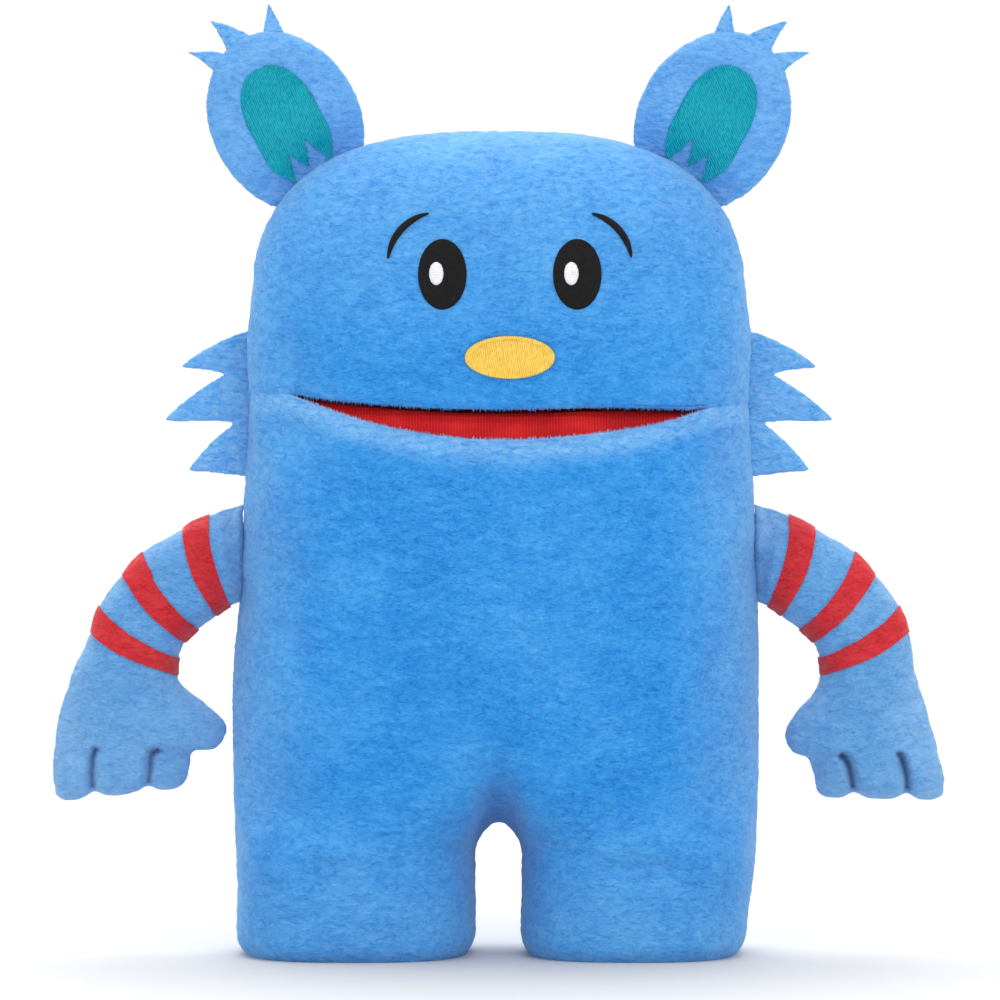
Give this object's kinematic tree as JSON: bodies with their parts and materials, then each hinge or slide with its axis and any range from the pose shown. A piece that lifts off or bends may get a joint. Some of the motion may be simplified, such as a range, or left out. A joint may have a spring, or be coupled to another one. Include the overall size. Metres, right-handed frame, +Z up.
{
  "type": "moving mouth hand puppet",
  "caption": "Plush hand puppet of a standing furry animal, with a hinged mouth worked from a back opening, swinging arms and folding ears.",
  "frame": {"origin": "on the floor under the middle of the feet, at the middle of the body's width and depth", "axes": "+Z up along the standing body, -Y out of the face, +X to the puppet's own left"},
  "size_m": [0.33, 0.0935, 0.3554],
  "materials": {
    "body_plush": "short-pile plush, soft sheen",
    "arm_plush": "short-pile plush, a little paler than the body",
    "red_plush": "short-pile plush band",
    "red_knit": "fine ribbed knit lining",
    "teal_thread": "dense embroidery thread",
    "yellow_thread": "satin-stitch embroidery thread",
    "black_thread": "satin-stitch embroidery thread",
    "white_thread": "satin-stitch embroidery thread",
    "lining_cloth": "plain woven polyester lining",
    "polyester_fill": "loose polyester fibre filling",
    "jaw_board": "matte flexible sheet"
  },
  "bodies": {
    "torso": {"torso_front_panel": "body_plush", "lower_back_panel": "body_plush", "upper_back_panel": "body_plush", "nape_panel": "body_plush", "left_foot_sole": "body_plush", "right_foot_sole": "body_plush", "left_leg_stuffing": "polyester_fill", "right_leg_stuffing": "polyester_fill", "belly_stuffing": "polyester_fill", "hand_sleeve": "lining_cloth", "opening_binding": "lining_cloth", "left_cheek_fringe": "body_plush", "right_cheek_fringe": "body_plush"},
    "lower_jaw": {"chin_panel": "body_plush", "tongue_lining": "red_knit", "lower_jaw_board": "jaw_board", "thumb_pocket": "lining_cloth"},
    "head": {"face_panel": "body_plush", "head_back_panel": "body_plush", "head_stuffing": "polyester_fill", "palate_lining": "red_knit", "upper_jaw_board": "jaw_board", "finger_pocket": "lining_cloth", "left_eye_patch": "black_thread", "right_eye_patch": "black_thread", "left_eye_highlight": "white_thread", "right_eye_highlight": "white_thread", "left_brow": "black_thread", "right_brow": "black_thread", "nose_patch": "yellow_thread"},
    "left_shoulder": {"left_shoulder_strip": "arm_plush"},
    "left_arm": {"left_arm_front": "arm_plush", "left_arm_back": "arm_plush", "left_arm_bands": "red_plush", "left_arm_stuffing": "polyester_fill"},
    "left_ear": {"left_ear_front": "body_plush", "left_ear_back": "body_plush", "left_ear_wadding": "polyester_fill", "left_ear_patch": "teal_thread", "left_ear_tufts": "body_plush"},
    "right_shoulder": {"right_shoulder_strip": "arm_plush"},
    "right_arm": {"right_arm_front": "arm_plush", "right_arm_back": "arm_plush", "right_arm_bands": "red_plush", "right_arm_stuffing": "polyester_fill"},
    "right_ear": {"right_ear_front": "body_plush", "right_ear_back": "body_plush", "right_ear_wadding": "polyester_fill", "right_ear_patch": "teal_thread", "right_ear_tufts": "body_plush"}
  },
  "joints": [
    {"name": "head_tilt", "type": "hinge", "parent": "torso", "child": "head", "pos_m": [0, 0.01, 0.206], "axis": [-1, 0, 0], "range_deg": [0, 35], "stiffness_Nm_per_rad": 0.2, "deforming": ["nape_panel"]},
    {"name": "jaw_drop", "type": "hinge", "parent": "torso", "child": "lower_jaw", "pos_m": [0, 0.01, 0.2036], "axis": [1, 0, 0], "range_deg": [-9, 28], "stiffness_Nm_per_rad": 0.6, "deforming": ["chin_panel"]},
    {"name": "left_shoulder_swing", "type": "hinge", "parent": "torso", "child": "left_shoulder", "pos_m": [0.09695, 0, 0.141], "axis": [0, 0, -1], "range_deg": [-40, 40], "stiffness_Nm_per_rad": 0.08},
    {"name": "left_arm_raise", "type": "hinge", "parent": "left_shoulder", "child": "left_arm", "pos_m": [0.117, 0, 0.141], "axis": [0, -1, 0], "range_deg": [0, 60], "stiffness_Nm_per_rad": 0.08},
    {"name": "left_ear_flop", "type": "hinge", "parent": "head", "child": "left_ear", "pos_m": [0.06977, 0, 0.29164], "axis": [0.8829, 0, -0.4695], "range_deg": [-50, 50], "stiffness_Nm_per_rad": 0.05},
    {"name": "right_shoulder_swing", "type": "hinge", "parent": "torso", "child": "right_shoulder", "pos_m": [-0.09695, 0, 0.141], "axis": [0, 0, 1], "range_deg": [-40, 40], "stiffness_Nm_per_rad": 0.08},
    {"name": "right_arm_raise", "type": "hinge", "parent": "right_shoulder", "child": "right_arm", "pos_m": [-0.117, 0, 0.141], "axis": [0, 1, 0], "range_deg": [0, 60], "stiffness_Nm_per_rad": 0.08},
    {"name": "right_ear_flop", "type": "hinge", "parent": "head", "child": "right_ear", "pos_m": [-0.06977, 0, 0.29164], "axis": [0.8829, 0, 0.4695], "range_deg": [-50, 50], "stiffness_Nm_per_rad": 0.05}
  ]
}
